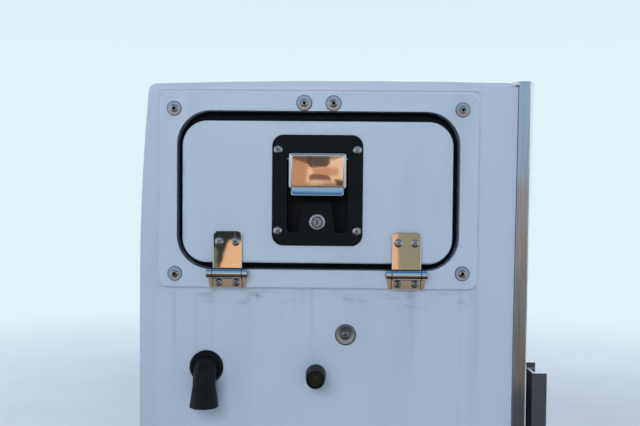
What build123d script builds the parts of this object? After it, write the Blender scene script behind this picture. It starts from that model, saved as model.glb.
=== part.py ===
from build123d import *
import math
import os

# Side box of a utility truck's body, street side, seen standing by itself.
# Millimetres. X runs from the street side to the cargo side, Y runs forward
# from the rear face, Z runs up from the underside. The model is laid out from
# the middle of the skins, the rear face and the underside, and every piece is
# moved by the same step at the end, so that the origin is the middle of the base.

# Moulded skins
body_depth = 517.0
body_length = 2743.0
body_height = 1168.0
skin = 10.0
corner_radius = 14.0
top_radius = 12.0
street_drop = 5.6
cargo_drop = 1.8
crest_x = 75.0
shoulder_lean = 12.6
end_return = 60.0
deck_drop = 45.0
overcut = 1.0

# Wheel arch, house and flare
arch_centre = 1270.0
arch_half = 560.0
arch_top = 500.0
arch_radius = 260.0
house_wall = 8.0
flare_width = 35.0
flare_proud = 27.0
flare_round = 9.0

# Inner panels
panel = 12.0
shelf_below_jamb = 3.4
shelf_setback = 66.0
shelf_lip = 25.0
lip_wall = 4.0
wire_hole_radius = 25.0
wire_hole_inset = 90.0
wire_hole_height = 120.0
tray_height = 470.0
tray_wall = 3.0
tray_lip = 25.0
tray_clearance = 2.0
cleat_leg = 25.0
cleat_wall = 3.0
cleat_inset = 15.0

# Doors: openings in the skins
door_head = 30.0
door_sill = 80.0
middle_sill_rise = 30.0
rear_post = 70.0
front_post = 83.0
divider_post = 50.0
middle_post = 38.0
opening_radius = 45.0
hatch_x = -20.8
hatch_drop = 147.7
hatch_width = 375.0
hatch_height = 211.0
hatch_shift_x = -0.7
hatch_shift_z = -2.2
opening_bevel = 2.5

# Doors: frame, seal and door, as levels out from the face that the door closes on
flange_margin = 24.4
flange_thickness = 5.0
flange_radius = 12.0
flange_round = 2.0
jamb_wall = 4.0
jamb_flange = 18.0
jamb_depth = 39.0
jamb_stop = 20.0
frame_clearance = 1.0
seal_width = 15.0
seal_height = 17.0
seal_bevel = 5.0
seal_clearance = 0.5
side_gap = 8.5
end_gap = 11.5
slab_radius = 33.0
slab_proud = 3.0
slab_thickness = 16.0
slab_round = 3.0
pan_inset = 16.0
pan_depth = 18.0
pan_taper = 20.0
pan_radius = 22.0
pan_band = 34.0
pan_web = 2.0

# Hinges
axis_proud = 8.0
axis_gap = 4.7
barrel_radius = 6.8
pin_radius = 3.0
pin_clearance = 0.3
strap_width = 38.5
strap_length = 56.4
strap_thickness = 3.0
strap_corner = 7.0
knuckle_gap = 0.4
leaf_top_width = 54.0
leaf_low_width = 47.0
leaf_length = 19.2
leaf_relief = 1.0
hatch_hinge_reach = 118.4
side_hinge_inset = 115.0

# Latches
latch_shift_z = 2.7
latch_inset = 96.0
tray_width = 120.0
tray_tall = 146.5
tray_radius = 15.0
tray_plate = 2.5
tray_bevel = 1.5
cup_width = 80.0
cup_tall = 106.0
cup_radius = 6.0
cup_drop = 2.7
cup_depth = 20.0
cup_wall = 3.0
cup_clearance = 1.0
boss_top_width = 36.5
boss_low_width = 48.7
boss_tall = 38.7
case_width = 56.0
case_tall = 84.0
case_depth = 32.5
case_round = 4.0
bolt_width = 22.0
bolt_thickness = 6.0
bolt_reach = 71.0
bolt_wedge = 5.0
bolt_play = 1.0
striker_width = 64.0
striker_plate = 3.0
striker_foot = 18.0
striker_overlap = 7.5
striker_clearance = 1.0
paddle_width = 75.7
paddle_tall = 46.8
paddle_low = 2.4
paddle_border = 4.0
paddle_rise = 1.6
paddle_plate = 1.6
paddle_radius = 2.5
lip_width = 70.0
lip_tall = 9.1
lip_flare = 5.0
pivot_above = 41.4
pivot_radius = 2.6
lock_radius = 10.75
lock_below = 41.8
lock_proud = 2.0
lock_bevel = 1.0
lock_seat = 8.0
lock_clearance = 0.2
plug_radius = 6.5
plug_sink = 0.8
key_width = 2.0
key_tall = 8.0

# Fittings on the rear face
elbow_x = -168.6
elbow_drop = 385.3
elbow_flange_radius = 22.6
elbow_flange = 4.0
elbow_radius = 15.1
elbow_axis_out = 20.2
elbow_length = 47.7
spout_radius = 19.2
elbow_wall = 3.0
bumper_x = -21.6
bumper_drop = 393.8
bumper_radius = 13.6
bumper_tip_radius = 12.3
bumper_proud = 33.0
bumper_round = 3.0
bumper_dimple = 2.5
lamp_x = -21.5
lamp_low = 400.0
lamp_spacing = 90.0
lamp_width = 165.0
lamp_tall = 57.0
lamp_proud = 13.0
lamp_round = 6.0
grommet_margin = 9.0
grommet_proud = 7.0
grommet_bevel = 2.5

# Fittings on the cargo side
trim_width = 16.0
trim_wall = 2.0
trim_rise = 0.8
channel_set_forward = 18.0
channel_depth = 35.0
channel_standoff = 14.0
channel_reach = 33.6
channel_wall = 4.0
channel_foot = 30.0
channel_tab_reach = 25.5
channel_tab_rise = 8.0
channel_low = 475.0
channel_height = 300.0
angle_leg = 50.0
angle_wall = 6.0
angle_height = 60.0
angle_inset = 10.0
angle_hole_radius = 7.0
angle_hole_inset = 85.0

# Places worked out from the sizes above
half_depth = body_depth / 2
inner_half = half_depth - skin
rear_panel_y = arch_centre - arch_half - house_wall - panel
front_panel_y = arch_centre + arch_half + house_wall
front_bay_y = front_panel_y + panel
front_wall_y = body_length - skin
hatch_z = body_height - hatch_drop
tool_shelf_top = hatch_z - hatch_height / 2 - jamb_wall - shelf_below_jamb
house_top = arch_top + house_wall
shelf_low = tool_shelf_top - panel
shelf_edge_x = -half_depth + shelf_setback
shoulder_rise = body_height - street_drop - shelf_low
shoulder_radius = (shoulder_rise**2 + shoulder_lean**2) / (2 * shoulder_lean)
door_top = shelf_low - door_head
elbow_bore = elbow_radius - elbow_wall

nodes = {}


def box_between(low, high):
    """A plain block from its lowest corner to its highest one."""
    size = [top - bottom for bottom, top in zip(low, high)]
    middle = [(top + bottom) / 2 for bottom, top in zip(low, high)]
    return Pos(*middle) * Box(*size)


def plate(outline, low, high):
    """An outline made solid between two levels of a face's own frame."""
    return Pos(0, 0, low) * extrude(outline, high - low)


def rounded_plate(width, height, radius, low, high):
    return plate(RectangleRounded(width, height, radius), low, high)


def soften_outer(solid, radius):
    """Round the edges of the outermost face of a piece in a face's own frame."""
    return fillet(solid.faces().sort_by(Axis.Z)[-1].edges(), radius)


def bevel_outer(solid, width):
    """Bevel the edges of the outermost face of a piece in a face's own frame."""
    return chamfer(solid.faces().sort_by(Axis.Z)[-1].edges(), width)


def on_rear(x, z):
    """Frame of the rear face: X to the right, Y up, Z out of the face."""
    return Plane(origin=(x, 0, z), x_dir=(1, 0, 0), z_dir=(0, -1, 0)).location


def on_street(y, z):
    """Frame of the street side, looked at from outside, with Y up."""
    return Plane(origin=(-half_depth, y, z), x_dir=(0, -1, 0), z_dir=(-1, 0, 0)).location


def along_body(profile, start, end):
    """A profile drawn in X and Z, run forward from start to end."""
    return Pos(0, start, 0) * extrude(Plane.XZ * profile, start - end)


def polygon(*points):
    return make_face(Polyline(*points, close=True))


class Door:
    """One opening with its frame, seal, door, hinges and latch.

    Levels are heights out from the face that the door closes on, and raised is
    how far that face stands out from the skin.
    """

    def __init__(self, name, place, width, height, edge, hinges, latch, shift, gap, raised):
        self.name = name
        self.raised = raised
        self.skin_place = place
        self.face_place = place * Pos(0, 0, raised)
        self.width = width
        self.height = height
        self.edge = edge
        self.hinges = hinges
        self.latch = latch
        self.shift = Pos(shift[0], shift[1], 0)
        self.slab_width = width - 2 * gap[0]
        self.slab_height = height - 2 * gap[1]

    def free_turn(self):
        """Turn from Y up to Y towards the edge that swings free."""
        return Rot(0, 0, 0) if self.edge == "bottom" else Rot(0, 0, -90)

    def striker_place(self):
        """Frame on the free edge of the opening, opposite the latch, with Y away from it."""
        if self.edge == "bottom":
            return self.face_place * Pos(self.latch[0] + self.shift.position.X, self.height / 2, 0)
        return self.face_place * Pos(self.width / 2, self.latch[1], 0) * self.free_turn()

    def hinge_places(self):
        """Frames on the hinge line: X along the pin, Y towards the door, Z out."""
        if self.edge == "bottom":
            line = -self.height / 2 - axis_gap
            return [Pos(step, line, axis_proud) for step in self.hinges]
        line = -self.width / 2 - axis_gap
        return [Pos(line, step, axis_proud) * Rot(0, 0, -90) for step in self.hinges]


# Door frame and seal
def opening_plate(door, margin, low, high):
    """The door's opening, larger by margin on each side, between two levels."""
    return rounded_plate(
        door.width + 2 * margin, door.height + 2 * margin, opening_radius + margin, low, high
    )


def door_frame(door):
    """The jamb that lines an opening, with the stop that carries the seal."""
    hole_past = jamb_depth + overcut
    tube_top = -door.raised if door.raised else -skin
    frame = opening_plate(door, jamb_wall, -jamb_depth, tube_top)
    if door.raised:
        outline = RectangleRounded(
            door.width + 2 * flange_margin, door.height + 2 * flange_margin, flange_radius
        )
        frame += soften_outer(plate(outline, -door.raised, 0), flange_round)
    else:
        frame += opening_plate(door, jamb_flange, -skin - jamb_wall, -skin)
    frame -= opening_plate(door, 0, -jamb_depth + jamb_wall, overcut)
    return frame - opening_plate(door, -jamb_stop, -hole_past, 0)


def door_seal(door):
    """A rubber ring lying on the stop of the frame."""
    base = -jamb_depth + jamb_wall
    ring = opening_plate(door, -seal_clearance, base, base + seal_height)
    hole = -seal_clearance - seal_width
    ring -= opening_plate(door, hole, base - overcut, base + seal_height + overcut)
    return bevel_outer(ring, seal_bevel)


# Door panel
def door_panel(door, recessed):
    """The outer slab with the tapered inner pan moulded on its back."""
    back = slab_proud - slab_thickness
    slab = rounded_plate(door.slab_width, door.slab_height, slab_radius, back, slab_proud)
    slab = soften_outer(slab, slab_round)
    pan_outline = RectangleRounded(
        door.slab_width - 2 * pan_inset, door.slab_height - 2 * pan_inset, pan_radius
    )
    slab += Pos(0, 0, back) * extrude(pan_outline, -pan_depth, taper=pan_taper)
    if recessed:
        inset = 2 * (pan_inset + pan_band)
        slab -= rounded_plate(
            door.slab_width - inset, door.slab_height - inset, pan_radius,
            back - pan_depth - overcut, back - pan_web,
        )
    cup_hole = rounded_plate(
        cup_width + 2 * (cup_wall + cup_clearance), cup_tall + 2 * (cup_wall + cup_clearance),
        cup_radius + cup_wall + cup_clearance, back - pan_depth - overcut, slab_proud + overcut,
    )
    return slab - Pos(*door.latch, 0) * Pos(0, -cup_drop, 0) * cup_hole


# Hinge
def hinge_strap():
    """The moving half: a plate on the door and the middle knuckle."""
    low = slab_proud - axis_proud
    strap = plate(
        Pos(0, strap_length / 2) * Rectangle(strap_width, strap_length), low, low + strap_thickness
    )
    tips = strap.edges().filter_by(Axis.Z).group_by(Axis.Y)[-1]
    strap = fillet(tips, strap_corner)
    strap += Rot(0, 90, 0) * Cylinder(barrel_radius, strap_width)
    return strap - Rot(0, 90, 0) * Cylinder(pin_radius + pin_clearance, strap_width + 2 * overcut)


def hinge_leaf():
    """The fixed half: a tapered plate, the two end knuckles and the pin."""
    half_top = leaf_top_width / 2
    half_low = leaf_low_width / 2
    outline = polygon(
        (-half_top, 0), (half_top, 0), (half_low, -leaf_length), (-half_low, -leaf_length)
    )
    leaf = plate(outline, -axis_proud, -axis_proud + strap_thickness)
    half_gap = strap_width / 2 + knuckle_gap
    relief = barrel_radius + leaf_relief
    leaf -= box_between((-half_gap, -relief, -axis_proud - overcut), (half_gap, overcut, 0))
    knuckle = half_top - half_gap
    for side in (-1, 1):
        middle = side * (half_gap + knuckle / 2)
        leaf += Pos(middle, 0, 0) * Rot(0, 90, 0) * Cylinder(barrel_radius, knuckle)
    return leaf + Rot(0, 90, 0) * Cylinder(pin_radius, leaf_top_width)


# Latch
def slam_bolt(low):
    """A flat bolt, drawn back, whose wedge tip points along Y from the case."""
    high = low + bolt_thickness
    profile = polygon(
        (0, low), (bolt_reach - bolt_wedge, low), (bolt_reach, high), (0, high)
    )
    return Pos(-bolt_width / 2, 0, 0) * extrude(Plane.YZ * profile, bolt_width)


def striker(foot_level, stop_level):
    """A folded strap that the bolt catches, with Y away from the opening's edge.

    It has a foot behind the skin, a leg past the jamb and a lip behind the stop.
    """
    near = jamb_wall + striker_clearance
    lip_low = stop_level - striker_plate
    foot_low = foot_level - striker_plate
    profile = polygon(
        (near + striker_plate + striker_foot, foot_level), (near, foot_level),
        (near, stop_level), (-jamb_stop - striker_overlap, stop_level),
        (-jamb_stop - striker_overlap, lip_low), (near + striker_plate, lip_low),
        (near + striker_plate, foot_low), (near + striker_plate + striker_foot, foot_low),
    )
    return Pos(-striker_width / 2, 0, 0) * extrude(Plane.YZ * profile, striker_width)


def latch_tray(bolt_turn):
    """The black tray: a face plate, a cup for the fingers, the lock's boss and the case."""
    seat = slab_proud
    face = seat + tray_plate
    tray = bevel_outer(rounded_plate(tray_width, tray_tall, tray_radius, seat, face), tray_bevel)
    cup_place = Pos(0, -cup_drop, 0)
    tray += cup_place * rounded_plate(
        cup_width + 2 * cup_wall, cup_tall + 2 * cup_wall, cup_radius + cup_wall,
        face - cup_depth - cup_wall, seat,
    )
    tray -= cup_place * rounded_plate(
        cup_width, cup_tall, cup_radius, face - cup_depth, face + overcut
    )
    cup_low = -cup_drop - cup_tall / 2
    half_top = boss_top_width / 2
    half_low = boss_low_width / 2
    boss_outline = polygon(
        (-half_low, cup_low), (half_low, cup_low),
        (half_top, cup_low + boss_tall), (-half_top, cup_low + boss_tall),
    )
    tray += plate(boss_outline, face - cup_depth, face)
    lock_hole = Cylinder(lock_radius + lock_clearance, 2 * lock_seat)
    tray -= Pos(0, -lock_below, face) * lock_hole
    case_low = face - cup_depth - cup_wall - case_depth
    case = rounded_plate(case_width, case_tall, case_round, case_low, case_low + case_depth)
    return tray + Pos(0, -cup_drop, 0) * case + bolt_turn * slam_bolt(case_low + bolt_play)


def latch_paddle():
    """The pull: a plate with a bevelled border, a flared lip and its pivot pin."""
    face = slab_proud + tray_plate
    low = face - paddle_plate
    middle = paddle_low + paddle_tall / 2
    outline = Pos(0, middle) * RectangleRounded(paddle_width, paddle_tall, paddle_radius)
    bevel = math.degrees(math.atan2(paddle_border, paddle_rise))
    paddle = plate(outline, low, face)
    paddle += Pos(0, 0, face) * extrude(outline, paddle_rise, taper=bevel)
    lip_top = paddle_low + paddle_rise
    lip_tip = paddle_low - lip_tall
    lip = polygon(
        (lip_top, low), (lip_top, face), (lip_tip, face + lip_flare),
        (lip_tip, face + lip_flare - paddle_plate),
    )
    lip = Pos(-lip_width / 2, 0, 0) * extrude(Plane.YZ * lip, lip_width)
    pivot = Rot(0, 90, 0) * Cylinder(pivot_radius, cup_width)
    return paddle + lip + Pos(0, pivot_above, low) * pivot


def latch_lock():
    """The lock's barrel in its boss, with a sunk plug and a key slot."""
    face = slab_proud + tray_plate
    barrel = Pos(0, 0, face - lock_seat) * extrude(Circle(lock_radius), lock_seat + lock_proud)
    barrel = bevel_outer(barrel, lock_bevel)
    top = face + lock_proud
    barrel -= plate(Circle(plug_radius), top - plug_sink, top + overcut)
    barrel -= plate(Rectangle(key_width, key_tall), top - lock_seat / 2, top + overcut)
    return Pos(0, -lock_below, 0) * barrel


def add_door(door, recessed=True):
    """Build every node of one door: the fixed ones and the ones that swing."""
    moving = door.face_place * door.shift
    latch_place = moving * Pos(*door.latch, 0)
    nodes[door.name + "_frame"] = door.face_place * door_frame(door)
    nodes[door.name + "_seal"] = door.face_place * door_seal(door)
    nodes[door.name + "_door"] = moving * door_panel(door, recessed)
    hinge_places = [door.face_place * place for place in door.hinge_places()]
    nodes[door.name + "_hinge_leaves"] = Compound([place * hinge_leaf() for place in hinge_places])
    nodes[door.name + "_hinge_straps"] = Compound([place * hinge_strap() for place in hinge_places])
    nodes[door.name + "_latch_tray"] = latch_place * latch_tray(door.free_turn())
    nodes[door.name + "_latch_pull"] = Compound([latch_place * latch_paddle(), latch_place * latch_lock()])


# Wheel arch
def arch_profile(margin):
    """The arch in Y and Z, larger by margin all round, closed at the underside."""
    outline = Rectangle(2 * (arch_half + margin), arch_top + margin)
    tops = outline.vertices().group_by(Axis.Y)[-1]
    outline = fillet(tops, arch_radius + margin)
    return Plane.YZ * Pos(arch_centre, (arch_top + margin) / 2) * outline


def arch_solid(margin, start, end):
    return Pos(start, 0, 0) * extrude(arch_profile(margin), end - start)


def wheel_flare():
    """A raised lip round the arch on the street side."""
    outer_x = -half_depth - flare_proud
    flare = arch_solid(flare_width, outer_x, -half_depth)
    flare -= arch_solid(0, outer_x - overcut, -half_depth + overcut)
    rim = flare.faces().sort_by(Axis.X)[0].edges()
    rim = [edge for edge in rim if edge.center().Z > flare_round]
    return fillet(rim, flare_round)


# Doors in their openings
side_width_rear = rear_panel_y - divider_post - rear_post
side_width_front = body_length - front_post - front_bay_y - divider_post
side_height = door_top - door_sill
middle_low = arch_top + flare_width + middle_sill_rise
middle_width = 2 * arch_half + 2 * house_wall - 2 * middle_post
middle_height = door_top - middle_low


def spread_hinges(span, count):
    """Places of evenly spread hinges along an edge of a side door."""
    reach = span / 2 - side_hinge_inset
    return [reach * (2 * step / (count - 1) - 1) for step in range(count)]


def side_latch(width):
    return (width / 2 - side_gap - latch_inset, 0)


doors = [
    Door(
        "hatch", on_rear(hatch_x, hatch_z), hatch_width, hatch_height, "bottom",
        (hatch_shift_x - hatch_hinge_reach, hatch_shift_x + hatch_hinge_reach),
        (0, latch_shift_z), (hatch_shift_x, hatch_shift_z), (side_gap, end_gap), flange_thickness,
    ),
    Door(
        "rear", on_street(rear_post + side_width_rear / 2, door_sill + side_height / 2),
        side_width_rear, side_height, "forward",
        spread_hinges(side_height, 3), side_latch(side_width_rear), (0, 0), (side_gap, side_gap), 0,
    ),
    Door(
        "middle", on_street(arch_centre, middle_low + middle_height / 2),
        middle_width, middle_height, "bottom",
        spread_hinges(middle_width, 4), (0, middle_height / 2 - side_gap - latch_inset),
        (0, 0), (side_gap, side_gap), 0,
    ),
    Door(
        "front",
        on_street(front_bay_y + divider_post + side_width_front / 2, door_sill + side_height / 2),
        side_width_front, side_height, "forward",
        spread_hinges(side_height, 3), side_latch(side_width_front), (0, 0), (side_gap, side_gap), 0,
    ),
]
hatch = doors[0]
strikers = []
for door in doors:
    add_door(door, recessed=door is not hatch)
    foot_level = -skin - door.raised if door.raised else -skin - jamb_wall
    strikers.append(door.striker_place() * striker(foot_level, -jamb_depth))
nodes["strikers"] = Compound(strikers)


# Moulded skins
def cross_section(depth, low):
    """The body cut across, drawn in from the outside by depth, from low upwards.

    Above the tool shelf the street side leans in on a long arc, and the top is crowned.
    """
    street = -half_depth + depth
    cargo = half_depth - depth
    top = body_height - depth
    street_top = top - street_drop
    cargo_top = top - cargo_drop
    arc_radius = shoulder_radius - depth
    lean = arc_radius - math.sqrt(arc_radius**2 - (street_top - shelf_low) ** 2)
    side = Line((street, low), (street, shelf_low))
    shoulder = TangentArc((street, shelf_low), (street + lean, street_top), tangent=(0, 1))
    crown = ThreePointArc((street + lean, street_top), (crest_x, top), (cargo, cargo_top))
    rest = Polyline((cargo, cargo_top), (cargo, low), (street, low))
    return make_face([side, shoulder, crown, rest])


def whole_skin():
    """The open-bottomed moulding before it is parted at its seams."""
    outer = along_body(cross_section(0, 0), 0, body_length)
    for end in (outer.faces().sort_by(Axis.Y)[0], outer.faces().sort_by(Axis.Y)[-1]):
        street_corner = [edge for edge in end.edges() if edge.bounding_box().max.X < 0]
        outer = fillet(street_corner, corner_radius)
    outer = fillet(outer.faces().sort_by(Axis.Z)[-1].edges(), top_radius)
    return outer - along_body(cross_section(skin, -overcut), skin, front_wall_y)


def skin_part(whole, low, high):
    return whole & box_between(low, high)


skins = whole_skin()
far = body_height + body_depth
front_seam = body_length - end_return
deck_seam = body_height - deck_drop

rear_end = skin_part(skins, (-far, -far, -far), (far, end_return, far))
hatch_hole = opening_plate(hatch, jamb_wall + frame_clearance, -skin - overcut, overcut)
rear_end -= hatch.skin_place * hatch_hole
elbow_place = on_rear(elbow_x, body_height - elbow_drop)
rear_end -= elbow_place * plate(Circle(elbow_bore), -skin - overcut, overcut)
nodes["rear_end"] = rear_end
nodes["front_end"] = skin_part(skins, (-far, front_seam, -far), (far, body_length + far, far))
nodes["top_deck"] = skin_part(skins, (-far, end_return, deck_seam), (far, front_seam, far))

arch_hole = arch_solid(0, -half_depth - overcut, half_depth + overcut)
street_side = skin_part(skins, (-far, end_return, -far), (0, front_seam, deck_seam)) - arch_hole
for door in doors[1:]:
    street_side -= door.skin_place * opening_plate(door, 0, -skin - overcut, overcut)
outer_face = street_side.faces().sort_by(Axis.X)[0]
door_edges = [edge for wire in outer_face.inner_wires() for edge in wire.edges()]
nodes["street_side"] = chamfer(door_edges, opening_bevel)
nodes["cargo_side"] = skin_part(skins, (0, end_return, -far), (far, front_seam, deck_seam)) - arch_hole


# Inner panels
def divider(y):
    """A bulkhead from the underside to the long shelf, with a hole for wiring."""
    top = tool_shelf_top - panel
    board = box_between((-inner_half, y, 0), (inner_half, y + panel, top))
    hole = Rot(90, 0, 0) * Cylinder(wire_hole_radius, 3 * panel)
    return board - Pos(inner_half - wire_hole_inset, y, wire_hole_height) * hole


def floor_board(start, end, low):
    return box_between((-inner_half, start, low), (inner_half, end, low + panel))


nodes["rear_divider"] = divider(rear_panel_y)
nodes["front_divider"] = divider(front_panel_y)
nodes["rear_floor"] = floor_board(skin, rear_panel_y, 0)
nodes["front_floor"] = floor_board(front_bay_y, front_wall_y, 0)
nodes["middle_floor"] = floor_board(rear_panel_y + panel, front_panel_y, house_top)
nodes["wheel_house"] = arch_solid(house_wall, -inner_half, inner_half) - arch_solid(
    0, -inner_half - overcut, inner_half + overcut
)
nodes["wheel_flare"] = wheel_flare()

shelf_profile = polygon(
    (inner_half, shelf_low), (shelf_edge_x, shelf_low),
    (shelf_edge_x, tool_shelf_top + shelf_lip), (shelf_edge_x + lip_wall, tool_shelf_top + shelf_lip),
    (shelf_edge_x + lip_wall, tool_shelf_top), (inner_half, tool_shelf_top),
)
tool_shelf = along_body(shelf_profile, skin, front_wall_y)
jamb_room = opening_plate(hatch, jamb_wall + frame_clearance, -jamb_depth - frame_clearance, 0)
nodes["tool_shelf"] = tool_shelf - hatch.face_place * jamb_room


def tray_shelf(start, end):
    """A folded shelf with a lip along both long edges."""
    back_x = inner_half - tray_clearance
    low = tray_height
    high = tray_height + tray_lip
    top = tray_height + tray_wall
    profile = polygon(
        (back_x, low), (shelf_edge_x, low), (shelf_edge_x, high), (shelf_edge_x + tray_wall, high),
        (shelf_edge_x + tray_wall, top), (back_x - tray_wall, top), (back_x - tray_wall, high),
        (back_x, high),
    )
    return along_body(profile, start + tray_clearance, end - tray_clearance)


def cleat(y, toward):
    """An angle on a wall at y, reaching the way of toward, under a shelf's end."""
    leg = toward * cleat_leg
    wall = toward * cleat_wall
    top = tray_height
    profile = polygon(
        (y, top), (y + leg, top), (y + leg, top - cleat_wall), (y + wall, top - cleat_wall),
        (y + wall, top - cleat_leg), (y, top - cleat_leg),
    )
    length = inner_half - shelf_edge_x - 2 * cleat_inset
    return Pos(shelf_edge_x + cleat_inset, 0, 0) * extrude(Plane.YZ * profile, length)


nodes["rear_shelf"] = tray_shelf(skin, rear_panel_y)
nodes["front_shelf"] = tray_shelf(front_bay_y, front_wall_y)
nodes["shelf_cleats"] = Compound([
    cleat(skin, 1), cleat(rear_panel_y, -1), cleat(front_bay_y, 1), cleat(front_wall_y, -1)
])


# Fittings on the rear face
def elbow_path(radius, mouth_radius):
    """A round bend that leaves the wall and turns down, with a spout below it."""
    turn = Axis((0, -elbow_axis_out, 0), (1, 0, 0))
    bend = revolve(Circle(radius), turn, revolution_arc=90)
    spout = elbow_length - elbow_axis_out
    spout_middle = Pos(0, -elbow_axis_out - spout / 2, elbow_axis_out)
    return bend + spout_middle * Rot(90, 0, 0) * Cone(radius, mouth_radius, spout)


def vent_elbow():
    """A rubber elbow on a round flange, whose hanging spout widens to its mouth."""
    flange = bevel_outer(plate(Circle(elbow_flange_radius), 0, elbow_flange), elbow_flange / 2)
    bore = elbow_path(elbow_bore, spout_radius - elbow_wall)
    return flange + elbow_path(elbow_radius, spout_radius) - bore


def bumper():
    """A tapered rubber stop with a rounded rim and a small hollow in its face."""
    body = Pos(0, 0, bumper_proud / 2) * Cone(bumper_radius, bumper_tip_radius, bumper_proud)
    body = soften_outer(body, bumper_round)
    return body - Pos(0, 0, bumper_proud) * Cone(0, bumper_dimple, bumper_dimple)


def lamp_places():
    return [on_rear(lamp_x, lamp_low + lamp_spacing * step) for step in range(3)]


def lamp_grommet():
    outline = SlotOverall(lamp_width + 2 * grommet_margin, lamp_tall + 2 * grommet_margin)
    ring = plate(outline, 0, grommet_proud)
    ring -= plate(SlotOverall(lamp_width, lamp_tall), -overcut, grommet_proud + overcut)
    return bevel_outer(ring, grommet_bevel)


def lamp_lens():
    lens = plate(SlotOverall(lamp_width, lamp_tall), 0, lamp_proud)
    return soften_outer(lens, lamp_round)


nodes["vent_elbow"] = elbow_place * vent_elbow()
nodes["bumper"] = on_rear(bumper_x, body_height - bumper_drop) * bumper()
nodes["lamp_grommets"] = Compound([place * lamp_grommet() for place in lamp_places()])
for name, place in zip(("backup_lamp", "turn_lamp", "tail_lamp"), lamp_places()):
    nodes[name] = place * lamp_lens()


# Fittings on the cargo side
def corner_trim():
    """An aluminium angle over the upright corner, a little taller than the box."""
    outside = half_depth + trim_wall
    profile = polygon(
        (half_depth - trim_width, -trim_wall), (outside, -trim_wall), (outside, trim_width),
        (half_depth, trim_width), (half_depth, 0), (half_depth - trim_width, 0),
    )
    return extrude(profile, body_height - cargo_drop + trim_rise)


def tail_board_channel():
    """A bent steel channel that holds the end of a tail board, open to the cargo side.

    It stands off the skin on its forward leg, which ends in a foot and a raised tab.
    """
    foot = half_depth + channel_wall
    web = half_depth + channel_standoff
    tab = half_depth + channel_tab_reach
    tip = half_depth + channel_reach
    start = channel_set_forward
    end = channel_set_forward + channel_depth
    profile = polygon(
        (web, start), (tip, start), (tip, start + channel_wall), (web + channel_wall, start + channel_wall),
        (web + channel_wall, end - channel_wall), (tab, end - channel_wall), (tab, end), (foot, end),
        (foot, end + channel_foot), (half_depth, end + channel_foot),
        (half_depth, end - channel_wall), (web, end - channel_wall),
    )
    channel = Pos(0, 0, channel_low) * extrude(profile, channel_height)
    top = channel_low + channel_height
    return channel + box_between((half_depth, end - channel_wall, top), (tab, end, top + channel_tab_rise))


def mounting_angle(start, end):
    """A steel angle with two bolt holes in its level leg."""
    low = angle_height
    profile = polygon(
        (half_depth, low), (half_depth + angle_leg, low),
        (half_depth + angle_leg, low + angle_wall), (half_depth + angle_wall, low + angle_wall),
        (half_depth + angle_wall, low + angle_leg), (half_depth, low + angle_leg),
    )
    angle = along_body(profile, start, end)
    hole_x = half_depth + (angle_leg + angle_wall) / 2
    for y in (start + angle_hole_inset, end - angle_hole_inset):
        angle -= Pos(hole_x, y, low) * Cylinder(angle_hole_radius, 3 * angle_wall)
    return angle


nodes["corner_trim"] = corner_trim()
nodes["tail_board_channel"] = tail_board_channel()
angle_spans = (
    (end_return + angle_inset, rear_panel_y - angle_inset),
    (front_bay_y + angle_inset, front_seam - angle_inset),
)
nodes["mounting_angles"] = Compound([mounting_angle(*span) for span in angle_spans])

# Origin: the middle of the base of everything, with what stands out from the skins
street_proud = flare_proud
cargo_proud = angle_leg
rear_proud = elbow_axis_out + spout_radius
to_origin = Pos((street_proud - cargo_proud) / 2, (rear_proud - body_length) / 2, 0)

os.makedirs("parts", exist_ok=True)
for name, shape in nodes.items():
    export_step(to_origin * shape, f"parts/{name}.step")
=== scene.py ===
"""Looks for the side box of a utility truck: finishes, fasteners, dirt, studio and camera.

Metres. X runs from the street side to the cargo side, Y forward, Z up. The CAD
nodes stay where they are; every added piece takes its place from them.
"""

import math

import bmesh
import bpy
from mathutils import Matrix, Quaternion, Vector

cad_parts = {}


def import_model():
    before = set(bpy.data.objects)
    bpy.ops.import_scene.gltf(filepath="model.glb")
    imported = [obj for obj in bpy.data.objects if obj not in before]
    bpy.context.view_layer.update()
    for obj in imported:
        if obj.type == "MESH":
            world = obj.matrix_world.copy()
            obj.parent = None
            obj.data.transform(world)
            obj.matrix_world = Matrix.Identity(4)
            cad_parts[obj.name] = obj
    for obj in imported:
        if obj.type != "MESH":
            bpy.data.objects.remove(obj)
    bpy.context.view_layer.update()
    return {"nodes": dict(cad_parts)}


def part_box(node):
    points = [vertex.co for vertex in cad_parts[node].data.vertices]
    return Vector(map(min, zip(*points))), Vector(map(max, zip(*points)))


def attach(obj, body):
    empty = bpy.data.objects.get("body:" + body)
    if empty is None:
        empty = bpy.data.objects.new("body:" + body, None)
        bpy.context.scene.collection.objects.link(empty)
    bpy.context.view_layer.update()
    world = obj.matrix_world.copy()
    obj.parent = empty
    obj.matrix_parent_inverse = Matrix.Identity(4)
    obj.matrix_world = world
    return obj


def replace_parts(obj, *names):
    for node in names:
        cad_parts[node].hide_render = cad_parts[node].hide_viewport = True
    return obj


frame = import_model()
MM = 0.001

# Camera: f is 800 picture pixels at 640 wide, so 45 mm on a 36 mm sensor
CAMERA_SIDE = -0.015
CAMERA_BACK = 1.0652
CAMERA_HEIGHT = 1.0273
CAMERA_YAW = -0.776
CAMERA_PITCH = 1.964
CAMERA_ROLL = 0.5
LENS_MM = 45.0
CARD_BACK = 2.0

# Bolts of the hatch frame, from its middle: X, Z and the washer's radius
FRAME_BOLTS = (
    (-191.2, 107.6, 9.3), (190.2, 108.0, 9.3), (-189.9, -111.6, 9.3), (192.2, -108.4, 9.3),
    (-19.0, 115.8, 10.1), (19.6, 115.5, 10.1),
)
FRAME_ROUND = 12 * MM
BOLT_HEAD = 5.4 * MM
BOLT_HEIGHT = 2.9 * MM
BOLT_SOCKET = 2.4 * MM
WASHER_THICK = 1.5 * MM

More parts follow.
